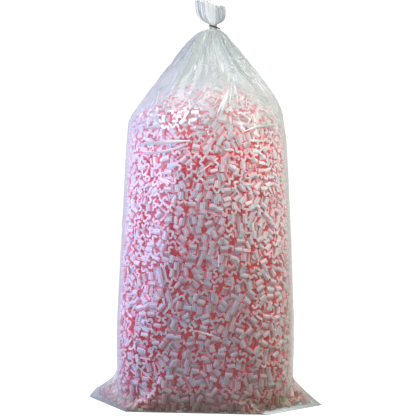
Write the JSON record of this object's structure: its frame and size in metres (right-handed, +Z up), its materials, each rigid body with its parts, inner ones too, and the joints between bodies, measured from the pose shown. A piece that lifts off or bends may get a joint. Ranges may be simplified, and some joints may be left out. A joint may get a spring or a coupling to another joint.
{
  "type": "packing peanut bag",
  "caption": "Tall clear plastic bag of pink S-shaped loose-fill foam peanuts, gathered at the neck and closed with a twist tie.",
  "frame": {"origin": "on the floor, midway between the two corner tips of the bottom seam and midway between front and back", "axes": "+Z up from the floor to the cut mouth, X along the bottom seam from corner to corner, -Y towards the front"},
  "size_m": [0.8997, 0.6412, 1.548],
  "materials": {
    "clear_film": "clear low-density polyethylene film, glossy, slightly hazy, creased at the neck and at the corners",
    "foam": "extruded expanded polystyrene foam, pale pink, matt, with a fine cell texture",
    "tie": "dark plastic ribbon over a thin iron wire, satin"
  },
  "bodies": {
    "root": {"bag_film": "clear_film", "peanut_fill": "foam", "peanut_01": "foam", "peanut_02": "foam", "peanut_03": "foam", "peanut_04": "foam", "peanut_05": "foam", "peanut_06": "foam", "peanut_07": "foam", "peanut_08": "foam", "peanut_09": "foam", "peanut_10": "foam", "peanut_11": "foam", "peanut_12": "foam", "peanut_13": "foam", "peanut_14": "foam", "peanut_15": "foam", "peanut_16": "foam", "peanut_17": "foam", "peanut_18": "foam", "peanut_19": "foam", "peanut_20": "foam", "peanut_21": "foam", "peanut_22": "foam", "peanut_23": "foam", "peanut_24": "foam", "peanut_25": "foam", "peanut_26": "foam", "peanut_27": "foam", "peanut_28": "foam", "peanut_29": "foam", "peanut_30": "foam", "peanut_31": "foam", "peanut_32": "foam", "twist_tie": "tie"}
  },
  "joints": []
}
